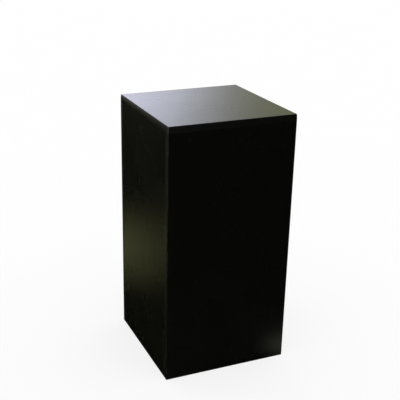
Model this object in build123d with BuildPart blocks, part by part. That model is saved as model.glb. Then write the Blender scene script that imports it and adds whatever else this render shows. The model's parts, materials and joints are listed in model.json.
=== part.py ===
"""Tall square display pedestal in black laminated board, made to be taken apart.

Millimetres, +Z up, front towards -Y. The origin is the middle of the footprint, on the floor.
"""

import math
import os

from build123d import *

os.makedirs("parts", exist_ok=True)

# Outside of the pedestal
height = 762.0
width = 381.0
depth = 381.0

# Laminated board and its edge banding
board = 19.0
band = 1.0
band_round = 0.6
top_band = 2.0
top_band_round = 1.5

# Cam locks
cam_radius = 7.4
cam_bore_gap = 0.1
cam_below_bolt = 4.0
cam_floor_gap = 0.5
cam_wall = 2.4
cam_turn = 200.0
cam_lip_angle = 50.0
cam_ramp_steps = 8
cam_rim_chamfer = 0.4
cam_distance = 34.0
recess_length = 8.0
recess_width = 2.0
recess_depth = 2.6

# Cam bolts
thread_radius = 3.1
thread_length = 11.0
collar_radius = 3.7
collar_length = 1.5
shank_radius = 2.9
neck_radius = 2.1
neck_length = 5.0
head_radius = 3.3
head_offset = 0.6
passage_gap = 0.3
slot_gap = 0.4
lock_gap = 0.3
entry_gap = 0.3
roof_gap = 0.2

# Dowels
dowel_radius = 4.0
dowel_length = 30.0
dowel_in_face = 11.0
dowel_chamfer = 0.8
glue_gap = 0.05
end_gap = 1.0

# Where the locks and dowels sit along the edges
low_cam_height = 110.0
high_cam_drop = 110.0
low_dowel_height = 75.0
high_dowel_drop = 75.0
top_cam_offset = 90.0
top_dowel_offset = 45.0

# Corner blocks and their screws
block_side = 44.0
block_height = 40.0
block_chamfer = 3.0
screw_offset = 34.0
front_screw_lift = 12.0
side_screw_lift = 28.0
screw_radius = 2.0
screw_head_radius = 4.0
screw_head_height = 2.6
screw_grip = 14.0
screw_tip = 4.0
counterbore_depth = 18.0
counterbore_gap = 0.6

# Levelling feet
pad_radius = 15.0
pad_rim = 3.0
pad_height = 9.0
pad_neck_radius = 8.0
socket_gap = 0.3
foot_radius = 6.1
foot_thickness = 3.0
foot_gap = 0.1
stud_radius = 3.92
stud_thread_gap = 0.08
stud_length = 45.0
stud_chamfer = 0.8
stud_neck_rise = 1.0
hexagon_flats = 13.0
hexagon_height = 5.0
nut_gap = 0.5
flange_radius = 11.0
flange_thickness = 1.5
barrel_radius = 5.0
barrel_length = 9.0
stud_clearance = 0.6

# Places that follow from the sizes above
half_width = width / 2
half_depth = depth / 2
inner_x = half_width - board
inner_y = half_depth - board
side_axis_x = half_width - board / 2
end_axis_y = half_depth - board / 2
wall_height = height - board
bolt_depth = board / 2

cam_height = bolt_depth + cam_below_bolt
slot_half = neck_radius + slot_gap
entry_radius = head_radius + entry_gap
cavity_radius = cam_radius - cam_wall
cavity_roof = bolt_depth - entry_radius - roof_gap
lock_radius = head_offset + math.sqrt(head_radius**2 - slot_half**2) + lock_gap
ramp_rise = cavity_radius - lock_radius
head_centre = cam_distance - head_offset
neck_end = head_centre - math.sqrt(head_radius**2 - neck_radius**2)
passage_radius = collar_radius + passage_gap

hexagon_base = pad_height + stud_neck_rise
nut_base = hexagon_base + hexagon_height + nut_gap
block_base = nut_base + flange_thickness
stud_top = hexagon_base + hexagon_height + stud_length

sides = {"left": -1, "right": 1}
ends = {"front": -1, "back": 1}
levels = {"low": low_cam_height, "high": wall_height - high_cam_drop}
dowel_heights = (low_dowel_height, wall_height / 2, wall_height - high_dowel_drop)


def polar(radius, angle):
    """Point at a radius and an angle in degrees."""
    return radius * math.cos(math.radians(angle)), radius * math.sin(math.radians(angle))


def section(plane):
    """Half section plane of a turned piece: x is the radius, y runs along the plane's z."""
    return Plane(origin=plane.origin, x_dir=plane.x_dir, z_dir=plane.x_dir.cross(plane.z_dir))


def wall_joint(side, end, z):
    """Joint on the inner face of the front or back panel, z into the side panel's edge."""
    return Plane(origin=(side * side_axis_x, end * inner_y, z), x_dir=(0, 0, 1), z_dir=(0, -end, 0))


def top_joint(x, y):
    """Joint on the underside of the top panel, z down into a wall's top edge."""
    return Plane(origin=(x, y, wall_height), x_dir=(1, 0, 0), z_dir=(0, 0, -1))


def cam_plane(joint, side):
    """Cam face on a side panel's inner face, z out of the board, x towards the bolt's root."""
    centre = joint.origin + joint.z_dir * cam_distance
    origin = (side * inner_x, centre.Y, centre.Z)
    return Plane(origin=origin, x_dir=-joint.z_dir, z_dir=(-side, 0, 0))


def front_screw(side, end):
    """Screw from a corner block into the front or back panel, z back into the block."""
    origin = (side * (inner_x - screw_offset), end * inner_y, block_base + front_screw_lift)
    return Plane(origin=origin, x_dir=(0, 0, 1), z_dir=(0, -end, 0))


def side_screw(side, end):
    """Screw from a corner block into a side panel, z back into the block."""
    origin = (side * inner_x, end * (inner_y - screw_offset), block_base + side_screw_lift)
    return Plane(origin=origin, x_dir=(0, 0, 1), z_dir=(-side, 0, 0))


def write(piece, name):
    """Label one finished piece and write its STEP file."""
    piece.part.label = name
    export_step(piece.part, f"parts/{name}.step")


# Every joint, by the side panel that it is in
wall_cams = {
    f"cam_{side_name}_{end_name}_{level_name}": (side, wall_joint(side, end, z))
    for side_name, side in sides.items()
    for end_name, end in ends.items()
    for level_name, z in levels.items()
}
top_cams = {
    f"cam_{side_name}_top_{end_name}": (side, top_joint(side * side_axis_x, end * top_cam_offset))
    for side_name, side in sides.items()
    for end_name, end in ends.items()
}
cams = wall_cams | top_cams
wall_dowels = [
    (side, end, wall_joint(side, end, z))
    for side in sides.values()
    for end in ends.values()
    for z in dowel_heights
]
side_top_dowels = [
    (side, top_joint(side * side_axis_x, offset))
    for side in sides.values()
    for offset in (-top_dowel_offset, top_dowel_offset)
]
end_top_dowels = [
    (end, top_joint(offset, end * end_axis_y))
    for end in ends.values()
    for offset in (-top_cam_offset, top_cam_offset)
]
corners = {
    f"{side_name}_{end_name}": (side, end)
    for side_name, side in sides.items()
    for end_name, end in ends.items()
}


# Top panel, drilled from below
with BuildPart() as top_panel:
    with BuildSketch(Plane.XY.offset(wall_height)):
        Rectangle(width - 2 * top_band, depth - 2 * top_band)
    extrude(amount=board)
    with Locations(*[joint for side, joint in top_cams.values()]):
        Hole(thread_radius + glue_gap, thread_length + end_gap)
    with Locations(*[joint for row, joint in side_top_dowels + end_top_dowels]):
        Hole(dowel_radius + glue_gap, dowel_in_face + end_gap)
write(top_panel, "top_panel")


# Front and back panels, drilled in their inner faces and top edges
for end_name, end in ends.items():
    with BuildPart() as end_panel:
        with BuildSketch():
            with Locations((0, end * end_axis_y)):
                Rectangle(width - 2 * band, board)
        extrude(amount=wall_height)
        with Locations(*[wall_joint(side, end, z) for side in sides.values() for z in levels.values()]):
            Hole(thread_radius + glue_gap, thread_length + end_gap)
        with Locations(*[joint for side, row, joint in wall_dowels if row == end]):
            Hole(dowel_radius + glue_gap, dowel_in_face + end_gap)
        with Locations(*[joint for row, joint in end_top_dowels if row == end]):
            Hole(dowel_radius + glue_gap, dowel_length - dowel_in_face + end_gap)
        with Locations(*[front_screw(side, end) for side in sides.values()]):
            Hole(screw_radius + glue_gap, screw_grip + glue_gap)
    write(end_panel, f"{end_name}_panel")


# Side panels, bored for the cams and drilled in their edges
for side_name, side in sides.items():
    with BuildPart() as side_panel:
        with BuildSketch():
            with Locations((side * side_axis_x, 0)):
                Rectangle(board, 2 * inner_y)
        extrude(amount=wall_height)
        joints = [joint for row, joint in cams.values() if row == side]
        with Locations(*[cam_plane(joint, side) for joint in joints]):
            Hole(cam_radius + cam_bore_gap, cam_height + cam_floor_gap)
        with Locations(*joints):
            Hole(passage_radius, cam_distance)
        with Locations(*[joint for row, end, joint in wall_dowels if row == side]):
            Hole(dowel_radius + glue_gap, dowel_length - dowel_in_face + end_gap)
        with Locations(*[joint for row, joint in side_top_dowels if row == side]):
            Hole(dowel_radius + glue_gap, dowel_length - dowel_in_face + end_gap)
        with Locations(*[side_screw(side, end) for end in ends.values()]):
            Hole(screw_radius + glue_gap, screw_grip + glue_gap)
    write(side_panel, f"{side_name}_side_panel")


# Banding on the front and back edges of the top panel, over the ends of the other two
for end_name, end in ends.items():
    with BuildPart() as end_band:
        with BuildSketch(Plane.XY.offset(wall_height)):
            with Locations((0, end * (half_depth - top_band / 2))):
                Rectangle(width, top_band)
        extrude(amount=board)
        fillet(end_band.faces().sort_by(Axis.Y)[-1 if end > 0 else 0].edges(), top_band_round)
    write(end_band, f"top_band_{end_name}")

# Banding on the left and right edges of the top panel
for side_name, side in sides.items():
    with BuildPart() as side_band:
        with BuildSketch(Plane.XY.offset(wall_height)):
            with Locations((side * (half_width - top_band / 2), 0)):
                Rectangle(top_band, depth - 2 * top_band)
        extrude(amount=board)
        outside = side_band.faces().sort_by(Axis.X)[-1 if side > 0 else 0]
        fillet(outside.edges().filter_by(Axis.Y), top_band_round)
    write(side_band, f"top_band_{side_name}")

# Banding on the upright edges of the front and back panels
for corner_name, (side, end) in corners.items():
    with BuildPart() as upright_band:
        with BuildSketch():
            with Locations((side * (half_width - band / 2), end * end_axis_y)):
                Rectangle(band, board)
        extrude(amount=wall_height)
        outside = upright_band.faces().sort_by(Axis.X)[-1 if side > 0 else 0]
        fillet(outside.edges().filter_by(Axis.Z), band_round)
    write(upright_band, f"wall_band_{corner_name}")


# One cam, face at the origin: a die-cast drum with a hook inside that winds round the bolt's head
with BuildPart() as cam:
    with BuildSketch():
        Circle(cam_radius)
    extrude(amount=-cam_height)
    chamfer(cam.faces().sort_by(Axis.Z)[-1].edges(), cam_rim_chamfer)
    # Hollow from below, its wall winding in from the open radius to the locked one
    with BuildSketch(Plane.XY.offset(-cam_height)):
        with BuildLine():
            lip = CenterArc((0, 0), lock_radius, 0, cam_lip_angle)
            shares = [step / cam_ramp_steps for step in range(cam_ramp_steps + 1)]
            Spline(*[polar(lock_radius + ramp_rise * share, -cam_turn * share) for share in shares])
            clear = CenterArc((0, 0), cavity_radius, cam_lip_angle, 360 - cam_turn - cam_lip_angle)
            Line(lip @ 1, clear @ 0)
        make_face()
    extrude(amount=cam_height - cavity_roof, mode=Mode.SUBTRACT)
    # Slot in the wall that the bolt's neck runs along, and room for the head between the lips
    with BuildSketch(Plane.XY.offset(-bolt_depth)):
        with BuildLine():
            sweep = CenterArc((0, 0), cam_radius + cam_wall, -cam_turn, cam_turn)
            Line(sweep @ 0, (0, 0))
            Line(sweep @ 1, (0, 0))
        make_face()
        Circle(cavity_radius)
    extrude(amount=slot_half, both=True, mode=Mode.SUBTRACT)
    # Round end of the slot where it locks, and the wider mouth where the head goes in
    for angle, radius in ((0, slot_half), (-cam_turn, entry_radius)):
        with BuildSketch(Plane(origin=(0, 0, -bolt_depth), z_dir=(*polar(1, angle), 0))):
            Circle(radius)
        extrude(amount=cam_radius + cam_wall, mode=Mode.SUBTRACT)
    # Cross recess for the screwdriver
    with BuildSketch():
        Rectangle(recess_length, recess_width)
        Rectangle(recess_width, recess_length)
    extrude(amount=-recess_depth, mode=Mode.SUBTRACT)

for name, (side, joint) in cams.items():
    with BuildPart() as placed_cam:
        with Locations(cam_plane(joint, side)):
            add(cam.part)
    write(placed_cam, name)


# One cam bolt, standing on the face that it is screwed into
with BuildPart() as cam_bolt:
    with BuildSketch(section(Plane.XY)):
        with BuildLine():
            Polyline(
                (0, -thread_length),
                (thread_radius - end_gap, -thread_length),
                (thread_radius, end_gap - thread_length),
                (thread_radius, 0),
                (collar_radius, 0),
                (collar_radius, collar_length),
                (shank_radius, collar_length),
                (shank_radius, neck_end - neck_length),
                (neck_radius, neck_end - neck_length),
                (neck_radius, neck_end),
            )
            ThreePointArc(
                (neck_radius, neck_end), (head_radius, head_centre), (0, head_centre + head_radius)
            )
            Line((0, head_centre + head_radius), (0, -thread_length))
        make_face()
    revolve(axis=Axis.Z)

with BuildPart() as wall_cam_bolts:
    with Locations(*[joint for side, joint in wall_cams.values()]):
        add(cam_bolt.part)
write(wall_cam_bolts, "wall_cam_bolts")

with BuildPart() as top_cam_bolts:
    with Locations(*[joint for side, joint in top_cams.values()]):
        add(cam_bolt.part)
write(top_cam_bolts, "top_cam_bolts")


# One dowel, across the joint at the origin
with BuildPart() as dowel:
    with BuildSketch(Plane.XY.offset(-dowel_in_face)):
        Circle(dowel_radius)
    extrude(amount=dowel_length)
    chamfer(dowel.edges().filter_by(GeomType.CIRCLE), dowel_chamfer)

with BuildPart() as wall_dowel_set:
    with Locations(*[joint for side, end, joint in wall_dowels]):
        add(dowel.part)
write(wall_dowel_set, "wall_dowels")

with BuildPart() as top_dowel_set:
    with Locations(*[joint for row, joint in side_top_dowels + end_top_dowels]):
        add(dowel.part)
write(top_dowel_set, "top_dowels")


# Corner blocks, with the tee nut's seat below and the screws let into the two free faces
for corner_name, (side, end) in corners.items():
    block_x = side * (inner_x - block_side / 2)
    block_y = end * (inner_y - block_side / 2)
    with BuildPart() as block:
        with BuildSketch(Plane.XY.offset(block_base)):
            with Locations((block_x, block_y)):
                Rectangle(block_side, block_side)
        extrude(amount=block_height)
        free_edge = block.edges().filter_by(Axis.Z).sort_by_distance((0, 0, block_base))[0]
        chamfer(free_edge, block_chamfer)
        with Locations((block_x, block_y, block_base)):
            Hole(barrel_radius + glue_gap, barrel_length + end_gap)
        with Locations((block_x, block_y, block_base + block_height)):
            Hole(stud_radius + stud_clearance, block_height)
        for screw in (front_screw(side, end), side_screw(side, end)):
            with Locations(screw.offset(block_side)):
                CounterBoreHole(
                    screw_radius + glue_gap,
                    screw_head_radius + counterbore_gap,
                    counterbore_depth,
                    block_side,
                )
    write(block, f"corner_block_{corner_name}")


# One wood screw, its head's underside at the counterbore's floor, z out of the wall
screw_seat = block_side - counterbore_depth
with BuildPart() as wood_screw:
    with BuildSketch(section(Plane.XY)):
        with BuildLine():
            Polyline(
                (0, -screw_grip),
                (screw_radius, screw_tip - screw_grip),
                (screw_radius, screw_seat),
                (screw_head_radius, screw_seat),
                (screw_head_radius, screw_seat + screw_head_height / 2),
            )
            dome = TangentArc(
                (0, screw_seat + screw_head_height),
                (screw_head_radius, screw_seat + screw_head_height / 2),
                tangent=(1, 0),
            )
            Line(dome @ 0, (0, -screw_grip))
        make_face()
    revolve(axis=Axis.Z)

with BuildPart() as block_screws:
    for side, end in corners.values():
        with Locations(front_screw(side, end), side_screw(side, end)):
            add(wood_screw.part)
write(block_screws, "block_screws")


# One tee nut, its flange under the corner block
with BuildPart() as tee_nut:
    with BuildSketch(Plane.XY.offset(nut_base)):
        Circle(flange_radius)
    extrude(amount=flange_thickness)
    with BuildSketch(Plane.XY.offset(block_base)):
        Circle(barrel_radius)
    extrude(amount=barrel_length)
    with Locations((0, 0, block_base)):
        Hole(stud_radius + stud_thread_gap)

# One levelling pad: a low plastic cone with a socket that holds the stud's foot
socket_floor = pad_rim
socket_roof = socket_floor + foot_gap + foot_thickness + foot_gap
with BuildPart() as pad:
    with BuildSketch(section(Plane.XY)):
        with BuildLine():
            Polyline(
                (0, 0),
                (pad_radius, 0),
                (pad_radius, pad_rim),
                (pad_neck_radius, pad_height),
                (stud_radius + socket_gap, pad_height),
                (stud_radius + socket_gap, socket_roof),
                (foot_radius + socket_gap, socket_roof),
                (foot_radius + socket_gap, socket_floor),
                (0, socket_floor),
                close=True,
            )
        make_face()
    revolve(axis=Axis.Z)

# One levelling stud: foot, hexagon and threaded rod
with BuildPart() as stud:
    with BuildSketch(section(Plane.XY)):
        with BuildLine():
            Polyline(
                (0, socket_floor + foot_gap),
                (foot_radius, socket_floor + foot_gap),
                (foot_radius, socket_roof - foot_gap),
                (stud_radius, socket_roof - foot_gap),
                (stud_radius, stud_top - stud_chamfer),
                (stud_radius - stud_chamfer, stud_top),
                (0, stud_top),
                close=True,
            )
        make_face()
    revolve(axis=Axis.Z)
    with BuildSketch(Plane.XY.offset(hexagon_base)):
        RegularPolygon(hexagon_flats / 2, 6, major_radius=False)
    extrude(amount=hexagon_height)

foot_places = {
    corner_name: (side * (inner_x - block_side / 2), end * (inner_y - block_side / 2))
    for corner_name, (side, end) in corners.items()
}

with BuildPart() as tee_nuts:
    with Locations(*foot_places.values()):
        add(tee_nut.part)
write(tee_nuts, "tee_nuts")

for corner_name, place in foot_places.items():
    for piece_name, piece in (("levelling_pad", pad), ("levelling_stud", stud)):
        with BuildPart() as placed:
            with Locations(place):
                add(piece.part)
        write(placed, f"{piece_name}_{corner_name}")
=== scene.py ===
"""Looks of a tall black laminated display pedestal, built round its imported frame.

Metres, +Z up, front towards -Y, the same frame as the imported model.
"""

import json
import math

import bpy
from bpy.props import FloatProperty, FloatVectorProperty, IntProperty, PointerProperty
from mathutils import Matrix, Vector

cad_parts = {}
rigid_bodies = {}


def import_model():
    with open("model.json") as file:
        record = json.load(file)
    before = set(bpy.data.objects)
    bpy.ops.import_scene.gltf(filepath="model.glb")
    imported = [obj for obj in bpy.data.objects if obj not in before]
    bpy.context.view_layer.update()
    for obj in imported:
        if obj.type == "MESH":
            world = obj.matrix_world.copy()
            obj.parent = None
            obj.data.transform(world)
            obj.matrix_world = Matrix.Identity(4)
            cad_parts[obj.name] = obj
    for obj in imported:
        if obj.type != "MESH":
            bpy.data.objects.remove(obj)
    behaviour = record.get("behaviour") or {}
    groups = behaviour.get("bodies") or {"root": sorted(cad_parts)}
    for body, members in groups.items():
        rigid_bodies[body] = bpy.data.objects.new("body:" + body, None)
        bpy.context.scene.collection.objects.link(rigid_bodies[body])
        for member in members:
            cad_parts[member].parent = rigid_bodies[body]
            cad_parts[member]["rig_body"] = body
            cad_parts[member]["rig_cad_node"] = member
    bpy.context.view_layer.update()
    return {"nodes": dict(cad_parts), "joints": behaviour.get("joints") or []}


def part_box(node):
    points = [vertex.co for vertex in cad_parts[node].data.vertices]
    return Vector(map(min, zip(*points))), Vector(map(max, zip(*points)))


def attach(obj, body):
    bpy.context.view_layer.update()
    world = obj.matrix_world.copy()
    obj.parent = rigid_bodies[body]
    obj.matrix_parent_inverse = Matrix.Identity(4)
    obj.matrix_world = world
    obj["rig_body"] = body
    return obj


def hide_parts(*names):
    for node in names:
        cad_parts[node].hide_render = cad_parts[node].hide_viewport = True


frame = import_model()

bl_info = {
    "name": "Display pedestal",
    "version": (1, 0, 0),
    "blender": (4, 5, 0),
    "location": "3D View > Sidebar > Pedestal",
    "description": "Dresses the frame of a black laminated display pedestal",
    "category": "Object",
}

# One millimetre in metres, and how near two points are when they count as one
MM = 0.001
NEAR = 1e-6

SIDES = ("left", "right")
ENDS = ("front", "back")
CORNERS = [f"{side}_{end}" for side in SIDES for end in ENDS]

# Each board's axis across its thickness, and which way its outer face points
PANELS = {
    "top_panel": ("Z", 1),
    "front_panel": ("Y", -1),
    "back_panel": ("Y", 1),
    "left_side_panel": ("X", -1),
    "right_side_panel": ("X", 1),
}
CAMS = sorted(name for name in frame["nodes"] if name.startswith("cam_"))

# Lights of the room that only the gloss sees: left, right, low and high edges and blur, in degrees of azimuth
# clockwise from the back and of elevation, and for the lesser lights a tint and a strength
BACK_WINDOW = (8, 70, 3, 27, 4)
ROOM_LIGHTS = {
    "far window": ((-175, -130, 4, 24, 5), (0.9, 0.95, 1.0), 1.6),
    "side window": ((-122, -80, -12, 14, 4), (0.95, 1.0, 0.85), 7.0),
    "skirting": ((-48, -14, -3, 8, 3), (1.0, 1.0, 0.85), 1.0),
}


def number(name, description, default):
    """A plain number property."""
    return FloatProperty(name=name, description=description, default=default)


def length(name, description, default):
    """A length property in metres."""
    return FloatProperty(name=name, description=description, default=default, min=0.0, unit="LENGTH")


def angle(name, description, degrees):
    """An angle property, its default given in degrees."""
    return FloatProperty(name=name, description=description, default=math.radians(degrees), unit="ROTATION")


def colour(name, description, default):
    """A linear colour property."""
    return FloatVectorProperty(name=name, description=description, default=default, size=3, subtype="COLOR")


def share(name, description, default):
    """A share from 0 to 1."""
    return FloatProperty(
        name=name, description=description, default=default, min=0.0, max=1.0, subtype="FACTOR"
    )


class BoardSettings(bpy.types.PropertyGroup):
    """Laminated board and its edge banding."""

    skin: length("Laminate", "Thickness of the black laminate on the outer face", 0.5 * MM)
    arris: length("Arris", "Width of the eased edge of each board", 0.3 * MM)
    band_round: length("Wall band round", "Radius of the bands on the walls", 0.6 * MM)
    top_band_round: length("Top band round", "Radius of the bands on the top", 0.9 * MM)
    top_band_crown: length("Top band crown", "How far the top bands curve in at their upper edge", 1.05 * MM)
    laminate: colour("Laminate colour", "Colour of the black laminate", (0.0013, 0.0014, 0.0009))
    laminate_roughness: share("Laminate roughness", "How satin the laminate is", 0.27)
    banding: colour("Banding colour", "Colour of the edge banding", (0.0022, 0.0023, 0.0017))
    banding_roughness: share("Banding roughness", "How satin the edge banding is", 0.31)
    core: colour("Core colour", "Colour of the particle board core", (0.36, 0.24, 0.13))


class FittingSettings(bpy.types.PropertyGroup):
    """Cams, bolts, screws, tee nuts and levelling feet."""

    arrow: length("Arrow", "Radius of the raised arrow on each cam", 1.1 * MM)
    arrow_rise: length("Arrow rise", "How far the arrow stands above the cam's face", 0.2 * MM)
    bolt_pitch: length("Bolt pitch", "Pitch of the cam bolts' thread", 2.0 * MM)
    screw_pitch: length("Screw pitch", "Pitch of the wood screws' thread", 1.8 * MM)
    stud_pitch: length("Stud pitch", "Pitch of the levelling studs' thread", 1.25 * MM)
    flutes: IntProperty(name="Flutes", description="Grooves round each dowel", default=20, min=6)
    zinc: colour("Zinc", "Colour of the die-cast cams", (0.74, 0.75, 0.78))
    plating: colour("Plating", "Colour of the plated steel", (0.62, 0.60, 0.55))
    block_wood: colour("Block wood", "Colour of the corner blocks", (0.50, 0.31, 0.15))
    dowel_wood: colour("Dowel wood", "Colour of the beech dowels", (0.58, 0.38, 0.21))
    pad: colour("Pad", "Colour of the plastic pads", (0.014, 0.014, 0.015))


class StageSettings(bpy.types.PropertyGroup):
    """Camera, floor and light."""

    camera_place: FloatVectorProperty(
        name="Camera place",
        description="Where the camera stands",
        default=(-0.9291, -2.0265, 1.3250),
        unit="LENGTH",
    )
    azimuth: angle("Azimuth", "Turn of the camera round the pedestal", -22.486)
    elevation: angle("Elevation", "Height of the camera above the horizon", 21.440)
    roll: angle("Roll", "Tilt of the camera's frame", 0.631)
    focal_length: number("Focal length", "Lens in mm on a 36 mm sensor", 71.888)
    shift_x: number("Shift X", "Sideways shift of the frame", 0.0625)
    shift_y: number("Shift Y", "Upward shift of the frame", 0.0125)
    floor_radius: length("Floor radius", "Reach of the floor", 60.0)
    floor: colour("Floor colour", "Colour of the pale floor", (0.99, 0.99, 0.99))
    shadow_lift: share("Shadow lift", "Share of the floor's white that shadow leaves alone", 0.75)
    dome_radius: length("Dome radius", "Reach of the room that the gloss sees", 9.0)


# Objects and meshes


def deselect():
    """Select nothing."""
    bpy.ops.object.select_all(action="DESELECT")


def only(piece):
    """Select one object and make it the active one."""
    deselect()
    piece.select_set(True)
    bpy.context.view_layer.objects.active = piece


def named(name):
    """Name the object that an operator has just added, and its mesh."""
    piece = bpy.context.view_layer.objects.active
    piece.name = name
    piece.data.name = name
    return piece


def settle(piece, place=None):
    """Move a piece to its place and put that place into its mesh."""
    if place is not None:
        piece.matrix_world = place
    only(piece)
    bpy.ops.object.transform_apply(location=True, rotation=True, scale=True)


def block(name, low, high):
    """A box between two corners, its place in its mesh."""
    deselect()
    bpy.ops.mesh.primitive_cube_add(size=1, location=(low + high) / 2, scale=high - low)
    piece = named(name)
    settle(piece)
    return piece


def pick(piece, kind, test):
    """Select the faces, edges or vertices that pass a test, and go into edit mode on them."""
    only(piece)
    mesh = piece.data
    for group in (mesh.vertices, mesh.edges, mesh.polygons):
        group.foreach_set("select", [False] * len(group))
    items = {"FACE": mesh.polygons, "EDGE": mesh.edges, "VERT": mesh.vertices}[kind]
    chosen = [item for item in items if test(item)]
    if not chosen:
        raise RuntimeError(f"{piece.name}: nothing to select")
    for item in chosen:
        item.select = True
    bpy.ops.object.mode_set(mode="EDIT")
    bpy.ops.mesh.select_mode(type=kind)


def pick_all(piece):
    """Go into edit mode with everything selected."""
    only(piece)
    bpy.ops.object.mode_set(mode="EDIT")
    bpy.ops.mesh.select_mode(type="VERT")
    bpy.ops.mesh.select_all(action="SELECT")


def done():
    """Leave edit mode."""
    bpy.ops.object.mode_set(mode="OBJECT")


def edge_ends(piece, edge):
    """The two ends of an edge."""
    return [piece.data.vertices[index].co for index in edge.vertices]


def apply_modifier(piece, kind, **options):
    """Add a modifier to a piece and apply it."""
    only(piece)
    modifier = piece.modifiers.new(kind.title(), kind)
    for option, value in options.items():
        setattr(modifier, option, value)
    bpy.ops.object.modifier_apply(modifier=modifier.name)


def smooth(piece, degrees=35):
    """Smooth shading, with the edges that turn more than an angle kept sharp."""
    only(piece)
    bpy.ops.object.shade_smooth_by_angle(angle=math.radians(degrees))


def face_outwards(piece):
    """Merge doubled points and turn every face outwards."""
    pick_all(piece)
    bpy.ops.mesh.remove_doubles(threshold=NEAR)
    bpy.ops.mesh.normals_make_consistent(inside=False)
    done()


def join(name, pieces):
    """Join pieces into one object."""
    deselect()
    for piece in pieces:
        piece.select_set(True)
    bpy.context.view_layer.objects.active = pieces[0]
    if len(pieces) > 1:
        bpy.ops.object.join()
    return named(name)


def copies(name, model, places):
    """One object that holds a copy of a model at each place; the model itself goes."""
    made = []
    for place in places:
        only(model)
        bpy.ops.object.duplicate()
        copy = bpy.context.view_layer.objects.active
        settle(copy, place)
        made.append(copy)
    bpy.data.objects.remove(model)
    return join(name, made)


def turned(name, outline, sides):
    """A piece turned about Z: a circle drawn out along (radius, height) points and closed at both ends."""
    (radius, height), *rest = outline
    deselect()
    bpy.ops.mesh.primitive_circle_add(
        vertices=sides, radius=radius, fill_type="NGON", location=(0, 0, height)
    )
    piece = named(name)
    settle(piece)
    pick_all(piece)
    for next_radius, next_height in rest:
        bpy.ops.mesh.extrude_region_move(TRANSFORM_OT_translate={"value": (0, 0, next_height - height)})
        ratio = next_radius / radius
        bpy.ops.transform.resize(value=(ratio, ratio, 1), center_override=(0, 0, next_height))
        radius, height = next_radius, next_height
    done()
    face_outwards(piece)
    return piece


def thread(name, radius, root, pitch, low, high, sides=20):
    """A closed thread about Z between two heights, wound by the Screw modifier from one pitch of it."""
    turns = math.ceil((high - low) / pitch) + 2
    start = low - pitch
    deselect()
    bpy.ops.mesh.primitive_plane_add(size=1)
    rod = named(name)
    pick(rod, "VERT", lambda vertex: vertex.index > 0)
    bpy.ops.mesh.delete(type="VERT")
    done()
    rod.data.vertices[0].co = (root, 0, start)
    flank, crest, valley = 0.4, 0.15, 0.05
    outline = ((radius - root, flank), (0, crest), (root - radius, flank), (0, valley))
    pick_all(rod)
    for out, up in outline:
        bpy.ops.mesh.extrude_region_move(TRANSFORM_OT_translate={"value": (out, 0, up * pitch)})
    done()
    apply_modifier(
        rod,
        "SCREW",
        axis="Z",
        angle=math.tau,
        screw_offset=pitch,
        iterations=turns,
        steps=sides,
        render_steps=sides,
        use_merge_vertices=True,
        merge_threshold=NEAR,
    )
    for height, up in ((low, -1), (high, 1)):
        pick_all(rod)
        bpy.ops.mesh.bisect(plane_co=(0, 0, height), plane_no=(0, 0, up), use_fill=True, clear_outer=True)
        done()
    face_outwards(rod)
    return rod


def cut(piece, tool):
    """Cut a tool out of a piece; the tool goes."""
    apply_modifier(piece, "BOOLEAN", operation="DIFFERENCE", solver="EXACT", object=tool)
    bpy.data.objects.remove(tool)


def cross_cutter(size, width, depth, top):
    """Two crossed tapered bars that cut a screwdriver recess into a face at height top."""
    taper = (0.55, 0.6, 1)
    half = Vector((size / 2, width / 2, depth))
    bars = []
    for quarter in (0, math.pi / 2):
        bar = block("recess", Vector((-half.x, -half.y, top - depth)), Vector((half.x, half.y, top + depth)))
        pick(bar, "FACE", lambda face: face.normal.z < -0.5)
        bpy.ops.transform.resize(value=taper, center_override=(0, 0, top - depth))
        done()
        settle(bar, Matrix.Rotation(quarter, 4, "Z"))
        bars.append(bar)
    apply_modifier(bars[0], "BOOLEAN", operation="UNION", solver="EXACT", object=bars[1])
    bpy.data.objects.remove(bars[1])
    return bars[0]


def merged_copy(name):
    """A free copy of a node of the frame, its triangles merged and its stored normals dropped."""
    only(frame["nodes"][name])
    bpy.ops.object.duplicate()
    piece = bpy.context.view_layer.objects.active
    piece.data = piece.data.copy()
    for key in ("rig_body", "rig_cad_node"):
        del piece[key]
    piece.parent = None
    piece.matrix_world = Matrix.Identity(4)
    bpy.ops.mesh.customdata_custom_splitnormals_clear()
    pick_all(piece)
    bpy.ops.mesh.remove_doubles(threshold=NEAR)
    done()
    return piece


def solid_boxes(name):
    """The low and high corners of the separate solids in a node of the frame."""
    pick_all(merged_copy(name))
    bpy.ops.mesh.separate(type="LOOSE")
    done()
    boxes = []
    for part in list(bpy.context.selected_objects):
        reaches = list(zip(*(vertex.co for vertex in part.data.vertices)))
        boxes.append([Vector([end(reach) for reach in reaches]) for end in (min, max)])
        bpy.data.objects.remove(part)
    return sorted(boxes, key=lambda box: tuple(box[0]))


def along_box(low, high):
    """A box's middle, the number of its longest axis, and which way along it the pedestal's middle lies."""
    middle = (low + high) / 2
    axis = max(range(3), key=lambda side: high[side] - low[side])
    return middle, axis, -1 if middle[axis] > 0 else 1


def unit(axis, sign=1):
    """A vector of length 1 along an axis, given by its number."""
    direction = Vector((0, 0, 0))
    direction[axis] = sign
    return direction


def stand(origin, up, forward):
    """The place of a model drawn about Z, with its Z along up and its X as near forward as that allows."""
    up = up.normalized()
    across = up.cross(forward).normalized()
    along = across.cross(up)
    place = Matrix.Translation(origin)
    for column, direction in enumerate((along, across, up)):
        for row in range(3):
            place[row][column] = direction[row]
    return place


def from_outer_end(box, depth, forward):
    """A place on a box's longest axis, some depth in from its outer end, its Z towards the middle."""
    low, high = box
    middle, axis, inward = along_box(low, high)
    middle[axis] = (low[axis] if inward > 0 else high[axis]) + inward * depth
    return stand(middle, unit(axis, inward), forward)


def on_underside(low, high):
    """A place in the middle of a box's underside."""
    middle = (low + high) / 2
    middle.z = low.z
    return Matrix.Translation(middle)


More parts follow.
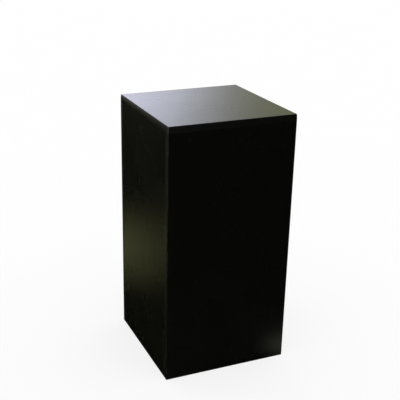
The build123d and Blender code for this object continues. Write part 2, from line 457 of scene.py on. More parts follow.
# Node trees


def new_material(name):
    """A new material, its node tree and Principled shader, and the point in the piece's own coordinates."""
    material = bpy.data.materials.new(name)
    material.use_nodes = True
    tree = material.node_tree
    point = tree.nodes.new("ShaderNodeTexCoord").outputs["Object"]
    return material, tree, tree.nodes["Principled BSDF"], point


def feed(tree, made, inputs):
    """Give a node's inputs their values or links."""
    for key, value in inputs.items():
        if isinstance(value, bpy.types.NodeSocket):
            tree.links.new(value, made.inputs[key])
        else:
            made.inputs[key].default_value = value


def node(tree, kind, inputs=None, **options):
    """Add a node, set its options and feed its inputs."""
    made = tree.nodes.new(kind)
    for option, value in options.items():
        setattr(made, option, value)
    feed(tree, made, inputs or {})
    return made


def surface(tree, made):
    """Make a node's first output the surface of the material."""
    tree.links.new(made.outputs[0], tree.nodes["Material Output"].inputs["Surface"])


def math_node(tree, operation, first, second=0.0):
    """The result of one sum on two values or sockets."""
    return node(tree, "ShaderNodeMath", {0: first, 1: second}, operation=operation).outputs[0]


def ramp(tree, value, *stops):
    """A colour ramp with (position, grey or colour) stops."""
    made = node(tree, "ShaderNodeValToRGB", {0: value})
    elements = made.color_ramp.elements
    while len(elements) < len(stops):
        elements.new(0.5)
    for element, (position, tone) in zip(elements, stops):
        element.position = position
        element.color = (*tone, 1) if isinstance(tone, tuple) else (tone, tone, tone, 1)
    return made.outputs[0]


def opaque(tone):
    """A colour with an alpha of 1; a socket stays as it is."""
    return tone if isinstance(tone, bpy.types.NodeSocket) else (*tone, 1)


def shade(tone, factor):
    """A colour made darker or paler by a factor."""
    return tuple(min(1.0, channel * factor) for channel in tone)


def mix_colour(tree, amount, first, second, blend="MIX"):
    """A mix of two colours or sockets."""
    inputs = {0: amount, 6: opaque(first), 7: opaque(second)}
    return node(tree, "ShaderNodeMix", inputs, data_type="RGBA", blend_type=blend).outputs[2]


def stretched(tree, point, scale, rotation=(0, 0, 0)):
    """The point, turned and stretched."""
    return node(tree, "ShaderNodeMapping", {"Vector": point, "Scale": scale, "Rotation": rotation}).outputs[0]


def noise(tree, point, scale, detail=2.0, roughness=0.5):
    """Noise from 0 to 1, with scale in turns a metre."""
    inputs = {"Vector": point, "Scale": scale, "Detail": detail, "Roughness": roughness}
    return node(tree, "ShaderNodeTexNoise", inputs).outputs[0]


def bump(tree, shader, height, distance, strength, under=None):
    """A bump on the shader, of a height field that is distance deep; under is a bump below it."""
    inputs = {"Height": height, "Distance": distance, "Strength": strength}
    if under is not None:
        inputs["Normal"] = under
    made = node(tree, "ShaderNodeBump", inputs).outputs[0]
    tree.links.new(made, shader.inputs["Normal"])
    return made


def ranged(tree, value, low, high, to_low, to_high, **options):
    """A value moved from one range to another."""
    inputs = {"Value": value, "From Min": low, "From Max": high, "To Min": to_low, "To Max": to_high}
    return node(tree, "ShaderNodeMapRange", inputs, **options).outputs[0]


def laminated_board(name, axis, inner, outer):
    """Black laminate on a board's outer face, raw particle board below it, by the depth along one axis."""
    board = bpy.context.scene.pedestal_board
    material, tree, shader, point = new_material(name)
    place = node(tree, "ShaderNodeSeparateXYZ", {0: point}).outputs[axis]
    depth = math_node(tree, "ABSOLUTE", math_node(tree, "SUBTRACT", place, outer))
    thickness = abs(outer - inner)
    in_skin = ranged(tree, depth, board.skin - 0.05 * MM, board.skin, 1, 0)

    # Laminate: a fine pebble and faint handling marks
    pebble = noise(tree, point, 1900, detail=1.5)
    marks = noise(tree, point, 7, detail=3)
    marked = ranged(tree, marks, 0.35, 0.75, 0, 0.5)
    black = mix_colour(tree, marked, tuple(board.laminate), (0.0020, 0.0021, 0.0015))
    satin = board.laminate_roughness
    sheen = ranged(tree, marks, 0.3, 0.7, satin - 0.008, satin + 0.012)

    # Core: flat chips of several tones, coarser in the middle of the board
    flatness = [1.0, 1.0, 1.0]
    flatness["XYZ".index(axis)] = 2.6
    flat = stretched(tree, point, flatness)
    chips, dust = (
        node(tree, "ShaderNodeTexVoronoi", {"Vector": flat, "Scale": scale}).outputs for scale in (420, 1100)
    )
    from_middle = math_node(tree, "ABSOLUTE", math_node(tree, "SUBTRACT", depth, thickness / 2))
    coarse = ranged(tree, from_middle, thickness * 0.22, thickness * 0.38, 0, 1)
    tone = node(tree, "ShaderNodeSeparateColor", {0: mix_colour(tree, coarse, chips[1], dust[1])}).outputs[0]
    base = tuple(board.core)
    chip_colour = ramp(tree, tone, (0.0, shade(base, 0.45)), (0.35, base), (1.0, shade(base, 1.55)))

    looks = {
        "Base Color": mix_colour(tree, in_skin, chip_colour, black),
        "Roughness": mix_colour(tree, in_skin, (0.85, 0.85, 0.85), sheen),
    }
    feed(tree, shader, looks)
    rough_core = math_node(tree, "MULTIPLY", math_node(tree, "SUBTRACT", 1.0, in_skin), chips[0])
    under = bump(tree, shader, rough_core, 0.5 * MM, 0.5)
    bump(tree, shader, math_node(tree, "MULTIPLY", pebble, in_skin), 0.01 * MM, 0.06, under)
    return material


def edge_banding():
    """Satin plastic banding: a fine pebble, and a slightly paler scuff here and there."""
    board = bpy.context.scene.pedestal_board
    material, tree, shader, point = new_material("edge_banding")
    scuffs = ranged(tree, noise(tree, point, 60, detail=6, roughness=0.7), 0.62, 0.78, 0, 0.3)
    satin = board.banding_roughness
    sheen = noise(tree, point, 25, detail=4)
    looks = {
        "Base Color": mix_colour(tree, scuffs, tuple(board.banding), (0.008, 0.008, 0.007)),
        "Roughness": ranged(tree, sheen, 0.3, 0.7, satin - 0.03, satin + 0.05),
    }
    feed(tree, shader, looks)
    bump(tree, shader, noise(tree, point, 1500, detail=1), 0.015 * MM, 0.1)
    return material


def cast_zinc():
    """Die-cast zinc: grey, slightly cloudy, with a fine cast skin."""
    base = tuple(bpy.context.scene.pedestal_fitting.zinc)
    material, tree, shader, point = new_material("cast_zinc")
    cloud = noise(tree, point, 350, detail=4, roughness=0.6)
    looks = {
        "Base Color": ramp(tree, cloud, (0.3, shade(base, 0.72)), (0.7, base)),
        "Metallic": 1.0,
        "Roughness": ranged(tree, cloud, 0.3, 0.7, 0.52, 0.34),
    }
    feed(tree, shader, looks)
    bump(tree, shader, noise(tree, point, 2500, detail=2), 0.02 * MM, 0.6)
    return material


def plated_steel():
    """Zinc-plated steel: a pale warm plating with faint drawn lines and duller patches."""
    base = tuple(bpy.context.scene.pedestal_fitting.plating)
    material, tree, shader, point = new_material("plated_steel")
    patches = noise(tree, point, 160, detail=5, roughness=0.65)
    yellow = (base[0] * 0.92, base[1] * 0.84, base[2] * 0.66)
    looks = {
        "Base Color": ramp(tree, patches, (0.35, yellow), (0.65, base)),
        "Metallic": 1.0,
        "Roughness": ranged(tree, patches, 0.3, 0.7, 0.42, 0.22),
    }
    feed(tree, shader, looks)
    lines = noise(tree, stretched(tree, point, (1, 1, 6)), 900, detail=2)
    bump(tree, shader, lines, 0.01 * MM, 0.5)
    return material


def plain_wood(name, base, ring_scale, along):
    """Planed softwood or beech: growth rings, pores stretched along the grain, and a soft sheen."""
    material, tree, shader, point = new_material(name)
    stretch = [1.0, 1.0, 1.0]
    stretch["XYZ".index(along)] = 0.08
    grain = stretched(tree, point, stretch, (0.05, 0.08, 0.03))
    rings = node(
        tree,
        "ShaderNodeTexWave",
        {"Vector": grain, "Scale": ring_scale, "Distortion": 3.5, "Detail": 3.0, "Detail Scale": 1.6},
        wave_type="RINGS",
        rings_direction=along,
    ).outputs[1]
    pores = noise(tree, grain, 1400, detail=3, roughness=0.6)
    late = (base[0] * 0.66, base[1] * 0.56, base[2] * 0.46)
    rings_colour = ramp(tree, rings, (0.0, shade(base, 1.12)), (0.6, base), (1.0, late))
    looks = {
        "Base Color": mix_colour(tree, ranged(tree, pores, 0.4, 0.7, 0, 0.35), rings_colour, late),
        "Roughness": ranged(tree, pores, 0.3, 0.7, 0.62, 0.8),
    }
    feed(tree, shader, looks)
    bump(tree, shader, pores, 0.08 * MM, 0.5)
    return material


def moulded_plastic():
    """Black moulded plastic with a fine spark-eroded grain."""
    base = tuple(bpy.context.scene.pedestal_fitting.pad)
    material, tree, shader, point = new_material("moulded_plastic")
    cloud = noise(tree, point, 220, detail=4)
    looks = {
        "Base Color": ramp(tree, cloud, (0.45, base), (0.85, shade(base, 2.2))),
        "Roughness": ranged(tree, cloud, 0.3, 0.7, 0.48, 0.6),
    }
    feed(tree, shader, looks)
    bump(tree, shader, noise(tree, point, 3000, detail=2), 0.03 * MM, 0.6)
    return material


def wear(piece, material):
    """Give a piece one material."""
    piece.data.materials.clear()
    piece.data.materials.append(material)


def wear_node(name, material):
    """Give a node of the frame one material, through its own slots."""
    piece = frame["nodes"][name]
    if not piece.material_slots:
        piece.data.materials.append(material)
    for slot in piece.material_slots:
        slot.material = material


def finish_piece(piece, body, slot, material, *nodes):
    """Ride a piece on its body, hide the nodes that it stands for, and give it its material. The slot is not
    used.
    """
    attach(piece, body)
    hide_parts(*nodes)
    wear(piece, material)


# Pieces


class PEDESTAL_OT_panels(bpy.types.Operator):
    """Ease the edges of the five boards and give them laminate outside and raw particle board inside"""

    bl_idname = "pedestal.panels"
    bl_label = "Panels"

    def execute(self, context):
        for name, (axis, outward) in PANELS.items():
            low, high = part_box(name)
            along = "XYZ".index(axis)
            ends = (low[along], high[along]) if outward > 0 else (high[along], low[along])
            wear_node(name, laminated_board(f"board_{name}", axis, *ends))
            ease_edges(frame["nodes"][name], context.scene.pedestal_board.arris)
        return {"FINISHED"}


def ease_edges(piece, width):
    """Weld a node's loose triangles and round its sharp edges, with live modifiers."""
    weld = piece.modifiers.new("Weld", "WELD")
    weld.merge_threshold = NEAR
    bevel = piece.modifiers.new("Ease", "BEVEL")
    bevel.width = width
    bevel.segments = 2
    bevel.limit_method = "ANGLE"
    bevel.angle_limit = math.radians(55)


class PEDESTAL_OT_edge_bands(bpy.types.Operator):
    """Make the banding on the edges of the top, front and back panels, with rounded outer edges"""

    bl_idname = "pedestal.edge_bands"
    bl_label = "Edge bands"

    def execute(self, context):
        board = context.scene.pedestal_board
        material = edge_banding()
        for end in ENDS:
            top_band(f"top_band_{end}", (0, 1), board, material)
        for side in SIDES:
            top_band(f"top_band_{side}", (0,), board, material)
            for end in ENDS:
                wall_band(f"wall_band_{side}_{end}", board.band_round, material)
        return {"FINISHED"}


def wall_band(name, radius, material):
    """One band on a wall's edge, its two long outer edges rounded."""
    low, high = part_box(name)
    outer = max(abs(low.x), abs(high.x))
    band = block(name + "_looks", low, high)

    def on_outside(edge):
        first, second = edge_ends(band, edge)
        upright = abs(first.z - second.z) > radius
        return upright and abs(first.x) > outer - NEAR

    pick(band, "EDGE", on_outside)
    bpy.ops.mesh.bevel(offset=radius, segments=5, affect="EDGES")
    done()
    smooth(band, 30)
    finish_piece(band, "carcass", "edge_banding", material, name)


def top_band(name, outward, board, material):
    """One band round the top, with outer faces along the axes in outward.

    Its face is crowned: it curves in towards the upper edge. The front and back bands cover the ends of the
    side bands, so their ends are shaped like the side bands.
    """
    rows, foot_share, lower_round = 6, 0.25, 0.3 * MM
    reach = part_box("top_band_front")[1].x
    low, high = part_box(name)
    band = block(name + "_looks", low, high)
    foot = low.z + foot_share * (high.z - low.z)
    heights = [foot + (high.z - foot) * row / rows for row in range(rows + 1)]
    for height in heights[:-1]:
        pick_all(band)
        bpy.ops.mesh.bisect(plane_co=(0, 0, height), plane_no=(0, 0, 1))
        done()
    for row, height in enumerate(heights[1:], 1):
        for axis in outward:
            scale = Vector((1, 1, 1))
            scale[axis] = 1 - board.top_band_crown * (row / rows) ** 2 / reach
            pick(band, "VERT", lambda v: abs(v.co.z - height) < NEAR and abs(v.co[axis]) > reach - NEAR)
            bpy.ops.transform.resize(value=scale, center_override=(0, 0, height))
            done()

    def outer_axes(edge):
        first, second = edge_ends(band, edge)
        limit = reach - board.top_band_crown - NEAR
        return [
            axis
            for axis in outward
            if first[axis] * second[axis] > 0 and min(abs(first[axis]), abs(second[axis])) > limit
        ]

    def at_height(edge, height):
        return all(abs(end.z - height) < NEAR for end in edge_ends(band, edge))

    pick(band, "EDGE", lambda e: outer_axes(e) and at_height(e, low.z))
    bpy.ops.mesh.bevel(offset=lower_round, segments=2, affect="EDGES")
    done()
    pick(band, "EDGE", lambda e: len(outer_axes(e)) > 1 or (outer_axes(e) and at_height(e, high.z)))
    bpy.ops.mesh.bevel(offset=board.top_band_round, segments=6, affect="EDGES")
    done()
    smooth(band, 30)
    finish_piece(band, "carcass", "edge_banding", material, name)


class PEDESTAL_OT_cams(bpy.types.Operator):
    """Make the twelve cams, each a casting with a raised arrow towards its mouth"""

    bl_idname = "pedestal.cams"
    bl_label = "Cams"

    def execute(self, context):
        fitting = context.scene.pedestal_fitting
        material = cast_zinc()
        hinges = {joint["child"]: joint for joint in frame["joints"]}
        for name in CAMS:
            make_cam(name, hinges[name], fitting, material)
        return {"FINISHED"}


def make_cam(name, hinge, fitting, material):
    """One cam: a merged copy of its node, with the arrow joined on beside the recess, towards the mouth."""
    casting = merged_copy(name)
    outward = Vector(hinge["axis"])
    centre = Vector(hinge["pos_m"])
    bolt_root = unit(2) if "_top_" in name else unit(1, -1 if "_front_" in name else 1)
    opening = math.radians(-hinge["range_deg"][1])
    mouth = Matrix.Rotation(opening, 3, outward) @ bolt_root
    arrow_place = 5.6 * MM
    deselect()
    bpy.ops.mesh.primitive_cone_add(
        vertices=3, radius1=fitting.arrow, radius2=fitting.arrow * 0.8, depth=2 * fitting.arrow_rise
    )
    arrow = named("arrow")
    settle(arrow, Matrix.Rotation(-math.pi / 2, 4, "Z"))
    settle(arrow, stand(centre + mouth * arrow_place, outward, mouth))
    cam = join(name + "_looks", [casting, arrow])
    smooth(cam, 32)
    finish_piece(cam, name, "zinc_cam", material, name)


class PEDESTAL_OT_cam_bolts(bpy.types.Operator):
    """Make the cam bolts: coarse thread, collar, shank, neck and round head"""

    bl_idname = "pedestal.cam_bolts"
    bl_label = "Cam bolts"

    thread_length: length("Thread length", "From the point to the collar", 11 * MM)

    def execute(self, context):
        material = plated_steel()
        pitch = context.scene.pedestal_fitting.bolt_pitch
        for group in ("wall_cam_bolts", "top_cam_bolts"):
            places = [from_outer_end(box, self.thread_length, unit(0)) for box in solid_boxes(group)]
            bolts = copies(group + "_looks", cam_bolt(self.thread_length, pitch), places)
            finish_piece(bolts, "carcass", "plated_steel", material, group)
        return {"FINISHED"}


def cam_bolt(thread_length, pitch):
    """One cam bolt about Z, its collar on the plane z = 0 and its thread below."""
    head_centre, head_radius, neck_radius = 33.4 * MM, 3.3 * MM, 2.1 * MM
    neck_end = head_centre - math.sqrt(head_radius**2 - neck_radius**2)
    start = math.asin(neck_radius / head_radius)
    ball = [
        (head_radius * math.sin(turn), head_centre - head_radius * math.cos(turn))
        for turn in (start + (math.pi - 0.12 - start) * step / 9 for step in range(10))
    ]
    outline = [
        (3.0 * MM, -0.4 * MM),
        (3.0 * MM, 0.0),
        (3.5 * MM, 0.0),
        (3.7 * MM, 0.2 * MM),
        (3.7 * MM, 1.3 * MM),
        (3.5 * MM, 1.5 * MM),
        (2.9 * MM, 1.5 * MM),
        (2.9 * MM, neck_end - 5.4 * MM),
        (neck_radius, neck_end - 5.0 * MM),
        *ball,
        (0.05 * MM, head_centre + head_radius),
    ]
    shank = turned("shank", outline, 32)
    worm = thread("worm", 3.1 * MM, 2.2 * MM, pitch, -thread_length + 1.0 * MM, -0.1 * MM)
    tip = turned("tip", [(1.4 * MM, -thread_length), (2.15 * MM, 1.05 * MM - thread_length)], 20)
    bolt = join("cam_bolt", [shank, worm, tip])
    smooth(bolt, 40)
    return bolt


class PEDESTAL_OT_dowels(bpy.types.Operator):
    """Make the fluted dowels between the boards"""

    bl_idname = "pedestal.dowels"
    bl_label = "Dowels"

    def execute(self, context):
        fitting = context.scene.pedestal_fitting
        for group, along in (("wall_dowels", "Y"), ("top_dowels", "Z")):
            boxes = solid_boxes(group)
            reach = max(boxes[0][1] - boxes[0][0])
            places = [dowel_place(*box) for box in boxes]
            material = plain_wood(f"beech_{along.lower()}", tuple(fitting.dowel_wood), 90, along)
            dowels = copies(group + "_looks", dowel(reach, fitting.flutes), places)
            finish_piece(dowels, "carcass", "dowel_wood", material, group)
        return {"FINISHED"}


def dowel_place(low, high):
    """Where one dowel lies: its middle, and its Z along its longest side."""
    middle, axis, _inward = along_box(low, high)
    return stand(middle, unit(axis), unit(0))


def dowel(reach, flutes):
    """One fluted dowel about Z, centred, its ends chamfered."""
    radius, groove, chamfer = 4.0 * MM, 0.35 * MM, 0.8 * MM
    outline = [
        (radius - chamfer, -reach / 2),
        (radius, chamfer - reach / 2),
        (radius, reach / 2 - chamfer),
        (radius - chamfer, reach / 2),
    ]
    peg = turned("dowel", outline, flutes * 3)

    def in_groove(vertex):
        turn = round(math.atan2(vertex.co.y, vertex.co.x) / math.tau * flutes * 3)
        return turn % 3 == 0 and vertex.co.xy.length > radius - groove

    pick(peg, "VERT", in_groove)
    ratio = 1 - groove / radius
    bpy.ops.transform.resize(value=(ratio, ratio, 1), center_override=(0, 0, 0))
    done()
    smooth(peg, 20)
    return peg


class PEDESTAL_OT_corner_blocks(bpy.types.Operator):
    """Ease the corner blocks and give them a planed softwood finish"""

    bl_idname = "pedestal.corner_blocks"
    bl_label = "Corner blocks"

    ease: length("Ease", "Width of the sanded edges", 0.7 * MM)

    def execute(self, context):
        base = tuple(context.scene.pedestal_fitting.block_wood)
        material = plain_wood("block_wood", base, 42, "Z")
        for corner in CORNERS:
            wear_node(f"corner_block_{corner}", material)
            ease_edges(frame["nodes"][f"corner_block_{corner}"], self.ease)
        return {"FINISHED"}


class PEDESTAL_OT_block_screws(bpy.types.Operator):
    """Make the wood screws that hold the corner blocks"""

    bl_idname = "pedestal.block_screws"
    bl_label = "Block screws"

    def execute(self, context):
        boxes = solid_boxes("block_screws")
        reach = max(boxes[0][1] - boxes[0][0])
        model = wood_screw(reach, context.scene.pedestal_fitting.screw_pitch)
        places = [from_outer_end(box, 0, unit(2)) for box in boxes]
        screws = copies("block_screws_looks", model, places)
        finish_piece(screws, "carcass", "plated_steel", plated_steel(), "block_screws")
        return {"FINISHED"}


def wood_screw(reach, pitch):
    """One pan-head wood screw about Z, its point at the origin."""
    radius, core, head, rise = 2.0 * MM, 1.35 * MM, 4.0 * MM, 2.6 * MM
    seat = reach - rise
    dome = [
        (head * math.cos(turn), seat + rise / 2 + rise / 2 * math.sin(turn))
        for turn in (math.pi / 2 * step / 6 for step in range(6))
    ]
    outline = [
        (core, seat - 9.0 * MM),
        (1.6 * MM, seat - 8.0 * MM),
        (1.6 * MM, seat),
        (head - 0.2 * MM, seat),
        (head, seat + 0.3 * MM),
        *dome,
    ]
    body = turned("screw_head", outline, 32)
    cut(body, cross_cutter(4.6 * MM, 1.1 * MM, 1.5 * MM, seat + rise))
    worm = thread("screw_worm", radius, core, pitch, 3.4 * MM, seat - 8.2 * MM, 16)
    point = turned("screw_point", [(0.08 * MM, 0), (core * 0.6, 1.8 * MM), (core + 0.1 * MM, 3.5 * MM)], 16)
    screw = join("wood_screw", [body, worm, point])
    smooth(screw)
    return screw


class PEDESTAL_OT_tee_nuts(bpy.types.Operator):
    """Make the tee nuts, each a flange with four bent prongs and a plain bored barrel"""

    bl_idname = "pedestal.tee_nuts"
    bl_label = "Tee nuts"

    def execute(self, context):
        boxes = solid_boxes("tee_nuts")
        low, high = boxes[0]
        nuts = copies("tee_nuts_looks", tee_nut(high.z - low.z), [on_underside(*box) for box in boxes])
        finish_piece(nuts, "carcass", "plated_steel", plated_steel(), "tee_nuts")
        return {"FINISHED"}


def tee_nut(reach):
    """One tee nut about Z, its flange's underside at the origin."""
    flange, thick, barrel, bore, roll = 11.0 * MM, 1.5 * MM, 5.0 * MM, 4.0 * MM, 0.3 * MM
    outline = [
        (bore + 0.4 * MM, 0),
        (flange - roll, 0),
        (flange, roll),
        (flange, thick - roll),
        (flange - roll, thick),
        (barrel + 0.6 * MM, thick),
        (barrel, thick + 0.6 * MM),
        (barrel, reach - 0.3 * MM),
        (barrel - 0.3 * MM, reach),
        (bore + 0.2 * MM, reach),
    ]
    body = turned("tee_nut", outline, 48)
    hole = turned("hole", [(bore, -MM), (bore, reach + MM)], 32)
    cut(body, hole)
    low = Vector((flange - 2.6 * MM, -1.4 * MM, thick - 0.3 * MM))
    high = Vector((flange - 1.6 * MM, 1.4 * MM, thick + 6.0 * MM))
    tip, taper = (flange - 2.1 * MM, 0, high.z), (0.35, 0.12, 1)
    prongs = []
    for quarter in range(4):
        prong = block("prong", low, high)
        pick(prong, "FACE", lambda face: face.normal.z > 0.5)
        bpy.ops.transform.resize(value=taper, center_override=tip)
        done()
        settle(prong, Matrix.Rotation(math.pi / 4 + quarter * math.pi / 2, 4, "Z"))
        prongs.append(prong)
    nut = join("tee_nut_model", [body, *prongs])
    smooth(nut)
    return nut


class PEDESTAL_OT_levelling_studs(bpy.types.Operator):
    """Make the levelling studs: foot, chamfered hexagon and threaded rod"""

    bl_idname = "pedestal.levelling_studs"
    bl_label = "Levelling studs"

    def execute(self, context):
        material = plated_steel()
        for corner in CORNERS:
            name = f"levelling_stud_{corner}"
            low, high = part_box(name)
            model = levelling_stud(high.z - low.z, context.scene.pedestal_fitting.stud_pitch)
            stud = copies(name + "_looks", model, [on_underside(low, high)])
            finish_piece(stud, name, "plated_steel", material, name)
        return {"FINISHED"}


def levelling_stud(reach, pitch):
    """One stud about Z, the underside of its foot at the origin."""
    radius, root, foot, foot_rise = 3.92 * MM, 3.25 * MM, 6.1 * MM, 3.0 * MM
    hexagon_low, hexagon_rise, flats, ease = 6.9 * MM, 5.0 * MM, 13.0 * MM, 0.7 * MM
    outline = [
        (foot - 0.4 * MM, 0),
        (foot, 0.4 * MM),
        (foot, foot_rise - 0.4 * MM),
        (foot - 0.4 * MM, foot_rise),
        (radius - 0.1 * MM, foot_rise),
        (radius - 0.1 * MM, hexagon_low + 0.1 * MM),
    ]
    base = turned("stud_foot", outline, 40)
    corner_radius = flats / math.sqrt(3)
    hexagon_top = hexagon_low + hexagon_rise
    deselect()
    bpy.ops.mesh.primitive_cylinder_add(
        vertices=6,
        radius=corner_radius,
        depth=hexagon_rise,
        location=(0, 0, hexagon_low + hexagon_rise / 2),
        rotation=(0, 0, math.pi / 6),
    )
    hexagon = named("stud_hexagon")
    settle(hexagon)
    eased = [
        (flats / 2 - 0.1 * MM, hexagon_low),
        (corner_radius + 0.1 * MM, hexagon_low + ease),
        (corner_radius + 0.1 * MM, hexagon_top - ease),
        (flats / 2 - 0.1 * MM, hexagon_top),
    ]
    lens = turned("hexagon_ease", eased, 48)
    apply_modifier(hexagon, "BOOLEAN", operation="INTERSECT", solver="EXACT", object=lens)
    bpy.data.objects.remove(lens)
    rod = thread("stud_rod", radius, root, pitch, hexagon_top - 0.1 * MM, reach - 0.7 * MM, 24)
    tip = turned("stud_tip", [(root + 0.05 * MM, reach - 0.75 * MM), (root - 0.35 * MM, reach)], 24)
    stud = join("levelling_stud_model", [base, hexagon, rod, tip])
    smooth(stud, 32)
    return stud


class PEDESTAL_OT_levelling_pads(bpy.types.Operator):
    """Make the plastic pads under the studs, with moulded ribs and a grip ring below"""

    bl_idname = "pedestal.levelling_pads"
    bl_label = "Levelling pads"

    ribs: IntProperty(name="Ribs", description="Ribs round each pad", default=12, min=3)

    def execute(self, context):
        material = moulded_plastic()
        for corner in CORNERS:
            name = f"levelling_pad_{corner}"
            pad = copies(name + "_looks", levelling_pad(self.ribs), [on_underside(*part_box(name))])
            finish_piece(pad, name, "pad_plastic", material, name)
        return {"FINISHED"}


def levelling_pad(ribs):
    """One pad about Z, standing on the origin: a low cone round the stud's socket, with ribs on its slope."""
    outline = [
        (9.0 * MM, 0.7 * MM),
        (9.4 * MM, 0),
        (14.5 * MM, 0),
        (15.0 * MM, 0.5 * MM),
        (15.0 * MM, 2.6 * MM),
        (14.7 * MM, 3.0 * MM),
        (9.2 * MM, 7.4 * MM),
        (8.2 * MM, 8.7 * MM),
        (7.8 * MM, 9.0 * MM),
        (4.6 * MM, 9.0 * MM),
        (4.25 * MM, 8.7 * MM),
        (4.25 * MM, 6.2 * MM),
        (6.4 * MM, 6.2 * MM),
        (6.4 * MM, 3.0 * MM),
    ]
    low, high = Vector((8.0, -0.5, 2.0)) * MM, Vector((14.2, 0.5, 8.0)) * MM
    made = [turned("pad", outline, 72)]
    for rib in range(ribs):
        bar = block("rib", low, high)
        pick(bar, "VERT", lambda vertex: vertex.co.x > 14 * MM and vertex.co.z > 7 * MM)
        bpy.ops.transform.translate(value=(0, 0, -4.2 * MM))
        done()
        settle(bar, Matrix.Rotation(math.tau * rib / ribs, 4, "Z"))
        made.append(bar)
    pad = join("levelling_pad_model", made)
    smooth(pad, 30)
    return pad


# Stage


def only_in_gloss(piece):
    """Show a stage object in glossy reflections alone, as a photographer's card out of frame."""
    for ray in ("camera", "diffuse", "transmission", "volume_scatter", "shadow"):
        setattr(piece, f"visible_{ray}", False)


def edge_step(tree, value, place, blur):
    """A soft step from 0 to 1 at a place, as wide as twice the blur."""
    return ranged(tree, value, place - blur, place + blur, 0.0, 1.0, interpolation_type="SMOOTHSTEP")


def pane(tree, azimuth, elevation, left, right, low, high, blur):
    """How far a direction lies in a soft-edged window, in degrees of azimuth and elevation."""
    across, level = (
        math_node(tree, "SUBTRACT", edge_step(tree, value, start, blur), edge_step(tree, value, end, blur))
        for value, start, end in ((azimuth, left, right), (elevation, low, high))
    )
    return math_node(tree, "MULTIPLY", across, level)


def lit(tree, amount, tint, strength):
    """A light of some tint, as strong as an amount."""
    return mix_colour(tree, 1.0, math_node(tree, "MULTIPLY", amount, strength), tint, "MULTIPLY")


def room_light(tree, point):
    """What the gloss sees: a dim room, pale above and below, a window behind, and fainter lights round it."""
    direction = node(tree, "ShaderNodeVectorMath", {0: point}, operation="NORMALIZE").outputs[0]
    x, y, z = node(tree, "ShaderNodeSeparateXYZ", {0: direction}).outputs
    azimuth = math_node(tree, "DEGREES", math_node(tree, "ARCTAN2", x, y))
    elevation = math_node(tree, "DEGREES", math_node(tree, "ARCSINE", z))
    dim = (0.007, 0.008, 0.004)
    room = ramp(
        tree,
        ranged(tree, elevation, -90, 90, 0, 1),
        (0.18, (0.6, 0.6, 0.6)),
        (0.25, dim),
        (0.66, dim),
        (0.74, (0.55, 0.55, 0.55)),
        (1.0, (0.8, 0.8, 0.8)),
    )
    behind = ramp(
        tree,
        ranged(tree, azimuth, 0, 60, 0, 1),
        (0.25, (0.80, 0.81, 1.0)),
        (0.35, (0.58, 0.60, 0.69)),
        (0.40, (0.37, 0.38, 0.41)),
        (0.46, (0.19, 0.19, 0.16)),
        (0.55, (0.14, 0.15, 0.075)),
        (1.0, (0.05, 0.05, 0.03)),
    )
    window = lit(tree, pane(tree, azimuth, elevation, *BACK_WINDOW), behind, 4.0)
    light = mix_colour(tree, 1.0, room, window, "ADD")
    for opening, tint, strength in ROOM_LIGHTS.values():
        glow = lit(tree, pane(tree, azimuth, elevation, *opening), tint, strength)
        light = mix_colour(tree, 1.0, light, glow, "ADD")
    return light


def dome_material():
    """The dome's material, which gives off the room's light and nothing else."""
    material, tree, shader, point = new_material("room_light")
    tree.nodes.remove(shader)
    surface(tree, node(tree, "ShaderNodeEmission", {"Color": room_light(tree, point)}))
    material.cycles.emission_sampling = "NONE"
    return material


def floor_glow(name, centre, half_size, tint, strength):
    """A painted reflection of a patch of lit floor: a glowing card that only the gloss sees, brightest in the
    middle and clear at its edge.
    """
    deselect()
    bpy.ops.mesh.primitive_plane_add(size=2, location=(*centre, MM))
    card = named(name)
    card.scale = (*half_size, 1)
    settle(card)
    material, tree, shader, point = new_material(name)
    tree.nodes.remove(shader)
    from_middle = node(
        tree,
        "ShaderNodeMapping",
        {"Vector": point, "Location": (*centre, 0), "Scale": (*half_size, 1)},
        vector_type="TEXTURE",
    ).outputs[0]
    flat = node(tree, "ShaderNodeVectorMath", {0: from_middle, 1: (1, 1, 0)}, operation="MULTIPLY").outputs[0]
    distance = node(tree, "ShaderNodeVectorMath", {0: flat}, operation="LENGTH").outputs["Value"]
    amount = ranged(tree, distance, 0.0, 1.0, 1.0, 0.0, interpolation_type="SMOOTHSTEP")
    glow = node(tree, "ShaderNodeEmission", {"Color": opaque(tint), "Strength": strength})
    clear = node(tree, "ShaderNodeBsdfTransparent")
    surface(tree, node(tree, "ShaderNodeMixShader", {0: amount, 1: clear.outputs[0], 2: glow.outputs[0]}))
    material.cycles.emission_sampling = "NONE"
    wear(card, material)
    only_in_gloss(card)


def pale_floor(stage):
    """The floor's material: pale, with a share of white that shadow leaves alone, and clear from below."""
    material, tree, shader, point = new_material("pale_floor")
    base = tuple(stage.floor)
    looks = {
        "Base Color": ramp(tree, noise(tree, point, 3, detail=4), (0.3, shade(base, 0.985)), (0.7, base)),
        "Roughness": 0.9,
        "Specular IOR Level": 0.0,
    }
    feed(tree, shader, looks)
    rays = node(tree, "ShaderNodeLightPath").outputs
    seen = math_node(tree, "MAXIMUM", rays["Is Camera Ray"], rays["Is Glossy Ray"])
    seen = math_node(tree, "MAXIMUM", seen, rays["Is Transmission Ray"])
    white = node(tree, "ShaderNodeEmission", {"Color": (1, 1, 1, 1), "Strength": 1.0})
    amount = math_node(tree, "MULTIPLY", seen, stage.shadow_lift)
    lifted = node(tree, "ShaderNodeMixShader", {0: amount, 1: shader.outputs[0], 2: white.outputs[0]})
    clear = node(tree, "ShaderNodeBsdfTransparent")
    below = node(tree, "ShaderNodeNewGeometry").outputs["Backfacing"]
    surface(tree, node(tree, "ShaderNodeMixShader", {0: below, 1: lifted.outputs[0], 2: clear.outputs[0]}))
    return material


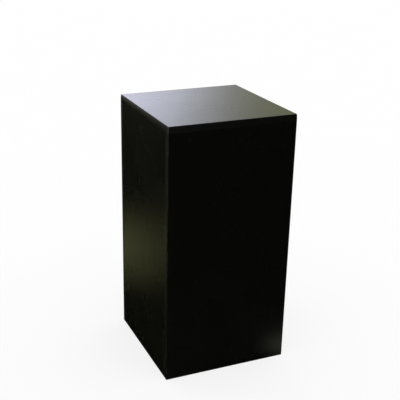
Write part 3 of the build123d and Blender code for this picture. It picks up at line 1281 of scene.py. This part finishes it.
class PEDESTAL_OT_stage(bpy.types.Operator):
    """Make the floor, the light and the camera"""

    bl_idname = "pedestal.stage"
    bl_label = "Stage"

    def execute(self, context):
        stage = context.scene.pedestal_stage
        make_floor(stage)
        make_light(context, stage)
        make_camera(context, stage)
        context.scene.view_settings.view_transform = "Standard"
        return {"FINISHED"}


def make_floor(stage):
    """A wide pale floor, open under the pedestal so that light reaches its foot and fittings from below."""
    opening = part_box("wall_band_right_front")[1].x - 0.5 * MM
    deselect()
    bpy.ops.mesh.primitive_plane_add(size=2 * stage.floor_radius)
    floor = named("floor")
    pick_all(floor)
    bpy.ops.mesh.select_mode(type="FACE")
    bpy.ops.mesh.inset(thickness=stage.floor_radius - opening)
    bpy.ops.mesh.delete(type="FACE")
    done()
    wear(floor, pale_floor(stage))
    floor.visible_glossy = False


def make_light(context, stage):
    """An even white world, and the dome and the painted reflections of lit floor that the gloss sees in its
    place.
    """
    world = bpy.data.worlds.new("white_world")
    world.use_nodes = True
    feed(world.node_tree, world.node_tree.nodes["Background"], {"Color": (1, 1, 1, 1), "Strength": 1.0})
    world.cycles_visibility.glossy = False
    context.scene.world = world

    deselect()
    bpy.ops.mesh.primitive_uv_sphere_add(segments=64, ring_count=32, radius=stage.dome_radius)
    dome = named("reflection_dome")
    wear(dome, dome_material())
    only_in_gloss(dome)
    # Painted reflections: glowing cards that stand for lit floor in the gloss of the black faces
    floor_glow("floor_glow_left", (-0.385, 0.80), (0.25, 0.58), (1.0, 0.98, 0.45), 0.26)
    floor_glow("floor_glow_front", (0.28, -0.235), (0.17, 0.10), (1.0, 1.0, 0.80), 0.55)


def make_camera(context, stage):
    """A camera at the photograph's place and angle, with its lens."""
    lens = bpy.data.cameras.new("camera")
    lens.sensor_width = 36.0
    lens.lens = stage.focal_length
    lens.shift_x = stage.shift_x
    lens.shift_y = stage.shift_y
    camera = bpy.data.objects.new("camera", lens)
    context.scene.collection.objects.link(camera)
    turn = Matrix.Rotation(stage.azimuth, 4, "Z")
    tilt = Matrix.Rotation(math.pi / 2 - stage.elevation, 4, "X")
    roll = Matrix.Rotation(stage.roll, 4, "Z")
    camera.matrix_world = Matrix.Translation(stage.camera_place) @ turn @ tilt @ roll
    context.scene.camera = camera


class PEDESTAL_PT_panel(bpy.types.Panel):
    """Lists the pedestal's pieces and settings"""

    bl_label = "Pedestal"
    bl_space_type = "VIEW_3D"
    bl_region_type = "UI"
    bl_category = "Pedestal"

    def draw(self, context):
        for group in SETTINGS:
            settings = getattr(context.scene, group)
            box = self.layout.box()
            for key in settings.bl_rna.properties.keys():
                if key not in ("name", "rna_type"):
                    box.prop(settings, key)
        for operator in OPERATORS:
            self.layout.operator(operator.bl_idname)


SETTINGS = {
    "pedestal_board": BoardSettings,
    "pedestal_fitting": FittingSettings,
    "pedestal_stage": StageSettings,
}
OPERATORS = (
    PEDESTAL_OT_panels,
    PEDESTAL_OT_edge_bands,
    PEDESTAL_OT_cams,
    PEDESTAL_OT_cam_bolts,
    PEDESTAL_OT_dowels,
    PEDESTAL_OT_corner_blocks,
    PEDESTAL_OT_block_screws,
    PEDESTAL_OT_tee_nuts,
    PEDESTAL_OT_levelling_studs,
    PEDESTAL_OT_levelling_pads,
    PEDESTAL_OT_stage,
)


def register():
    for group, settings in SETTINGS.items():
        bpy.utils.register_class(settings)
        setattr(bpy.types.Scene, group, PointerProperty(type=settings))
    for operator in OPERATORS:
        bpy.utils.register_class(operator)
    bpy.utils.register_class(PEDESTAL_PT_panel)


def unregister():
    bpy.utils.unregister_class(PEDESTAL_PT_panel)
    for operator in reversed(OPERATORS):
        bpy.utils.unregister_class(operator)
    for group, settings in reversed(SETTINGS.items()):
        delattr(bpy.types.Scene, group)
        bpy.utils.unregister_class(settings)


def main():
    register()
    for operator in OPERATORS:
        group, action = operator.bl_idname.split(".")
        getattr(getattr(bpy.ops, group), action)()


if __name__ == "__main__":
    main()
